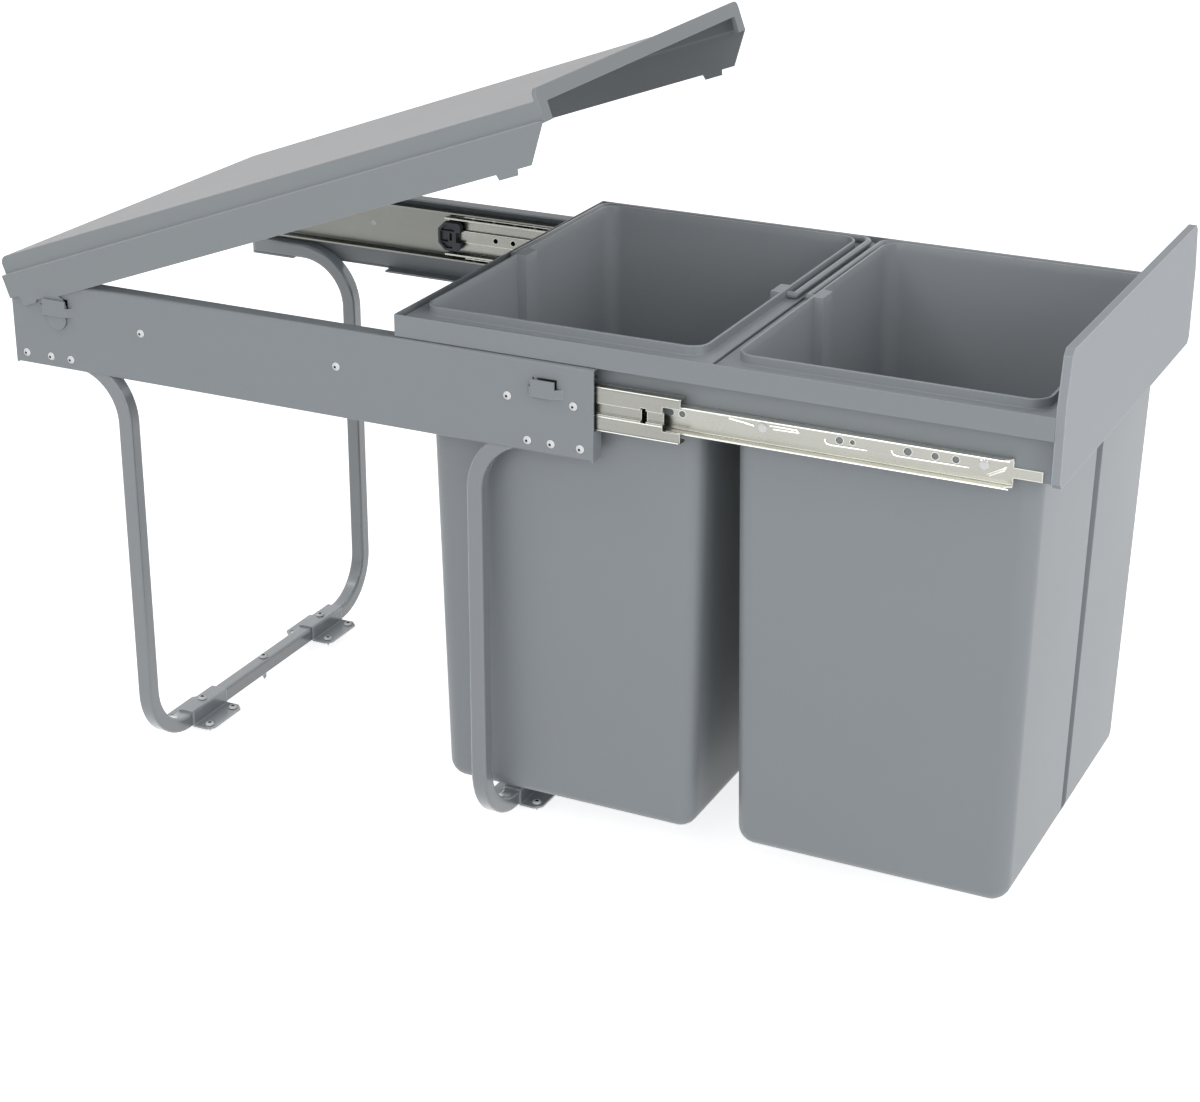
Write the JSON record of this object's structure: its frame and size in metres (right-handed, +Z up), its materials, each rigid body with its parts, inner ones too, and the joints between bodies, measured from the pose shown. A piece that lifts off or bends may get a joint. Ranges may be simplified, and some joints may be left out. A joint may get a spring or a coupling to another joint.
{
  "type": "pull out bin frame",
  "caption": "Pull-out waste bin frame: riveted side panels on bent-tube legs, telescopic ball slides, a drawer with two handled bins, a front plate and a tipping lid.",
  "frame": {"origin": "centre of the rectangle of free screw holes in the rear flanges of the four feet, in the plane of the cabinet floor", "axes": "+X is the pull-out direction, +Y is the left side seen from behind, +Z is up"},
  "size_m": [0.807, 0.3428, 0.5686],
  "materials": {
    "powder_coat": "grey powder coat, satin",
    "plate_coat": "light grey powder coat, satin",
    "zinc_steel": "zinc-plated rolled steel",
    "bright_steel": "bright plated steel",
    "bin_plastic": "moulded grey plastic, satin",
    "coated_rod": "grey coated wire",
    "lid_plastic": "moulded grey plastic with a fine grain on top",
    "black_plastic": "black moulded plastic"
  },
  "bodies": {
    "fixed_frame": {"left_panel": "powder_coat", "right_panel": "powder_coat", "rear_leg_frame": "powder_coat", "front_leg_frame": "powder_coat", "rear_left_foot": "powder_coat", "rear_right_foot": "powder_coat", "front_left_foot": "powder_coat", "front_right_foot": "powder_coat", "foot_screws": "bright_steel", "floor_screws": "bright_steel", "leg_rivets": "bright_steel", "slide_rivets": "bright_steel", "left_outer_slide": "zinc_steel", "right_outer_slide": "zinc_steel"},
    "left_middle_member": {"left_middle_slide": "zinc_steel", "left_stop": "black_plastic"},
    "left_outer_ball_cage": {"left_outer_cage": "zinc_steel", "left_outer_balls": "bright_steel"},
    "left_inner_ball_cage": {"left_inner_cage": "zinc_steel", "left_inner_balls": "bright_steel"},
    "right_middle_member": {"right_middle_slide": "zinc_steel", "right_stop": "black_plastic"},
    "right_outer_ball_cage": {"right_outer_cage": "zinc_steel", "right_outer_balls": "bright_steel"},
    "right_inner_ball_cage": {"right_inner_cage": "zinc_steel", "right_inner_balls": "bright_steel"},
    "drawer": {"left_inner_slide": "zinc_steel", "right_inner_slide": "zinc_steel", "inner_slide_rivets": "bright_steel", "left_rail": "powder_coat", "right_rail": "powder_coat", "rear_cross_rail": "powder_coat", "front_cross_rail": "powder_coat", "front_plate": "plate_coat", "plate_screws": "bright_steel"},
    "rear_container": {"rear_bin": "bin_plastic"},
    "front_container": {"front_bin": "bin_plastic"},
    "rear_handle": {"rear_bin_handle": "coated_rod"},
    "front_handle": {"front_bin_handle": "coated_rod"},
    "tipping_lid": {"lid": "lid_plastic"}
  },
  "joints": [
    {"name": "drawer_slide", "type": "slide", "parent": "fixed_frame", "child": "drawer", "axis": [1, 0, 0], "range_m": [-0.307, 0]},
    {"name": "left_middle_member_slide", "type": "slide", "parent": "fixed_frame", "child": "left_middle_member", "axis": [1, 0, 0], "range_m": [-0.1535, 0]},
    {"name": "left_outer_ball_cage_slide", "type": "slide", "parent": "fixed_frame", "child": "left_outer_ball_cage", "axis": [1, 0, 0], "range_m": [-0.07675, 0]},
    {"name": "left_inner_ball_cage_slide", "type": "slide", "parent": "fixed_frame", "child": "left_inner_ball_cage", "axis": [1, 0, 0], "range_m": [-0.23025, 0]},
    {"name": "right_middle_member_slide", "type": "slide", "parent": "fixed_frame", "child": "right_middle_member", "axis": [1, 0, 0], "range_m": [-0.1535, 0]},
    {"name": "right_outer_ball_cage_slide", "type": "slide", "parent": "fixed_frame", "child": "right_outer_ball_cage", "axis": [1, 0, 0], "range_m": [-0.07675, 0]},
    {"name": "right_inner_ball_cage_slide", "type": "slide", "parent": "fixed_frame", "child": "right_inner_ball_cage", "axis": [1, 0, 0], "range_m": [-0.23025, 0]},
    {"name": "rear_bin_lift", "type": "slide", "parent": "drawer", "child": "rear_container", "axis": [0, 0, 1], "range_m": [0, 0.04]},
    {"name": "front_bin_lift", "type": "slide", "parent": "drawer", "child": "front_container", "axis": [0, 0, 1], "range_m": [0, 0.38]},
    {"name": "rear_handle_hinge", "type": "hinge", "parent": "rear_container", "child": "rear_handle", "pos_m": [0.2227, 0, 0.3916], "axis": [1, 0, 0], "range_deg": [0, 25]},
    {"name": "front_handle_hinge", "type": "hinge", "parent": "front_container", "child": "front_handle", "pos_m": [0.4559, 0, 0.3916], "axis": [1, 0, 0], "range_deg": [0, 180]},
    {"name": "lid_hinge", "type": "hinge", "parent": "fixed_frame", "child": "tipping_lid", "pos_m": [-0.1815, 0, 0.3575], "axis": [0, -1, 0], "range_deg": [-19.1, 0]}
  ],
  "couplings": [
    {"joint": "left_middle_member_slide", "follows": "drawer_slide", "ratio": 0.5},
    {"joint": "left_outer_ball_cage_slide", "follows": "drawer_slide", "ratio": 0.25},
    {"joint": "left_inner_ball_cage_slide", "follows": "drawer_slide", "ratio": 0.75},
    {"joint": "right_middle_member_slide", "follows": "drawer_slide", "ratio": 0.5},
    {"joint": "right_outer_ball_cage_slide", "follows": "drawer_slide", "ratio": 0.25},
    {"joint": "right_inner_ball_cage_slide", "follows": "drawer_slide", "ratio": 0.75}
  ]
}
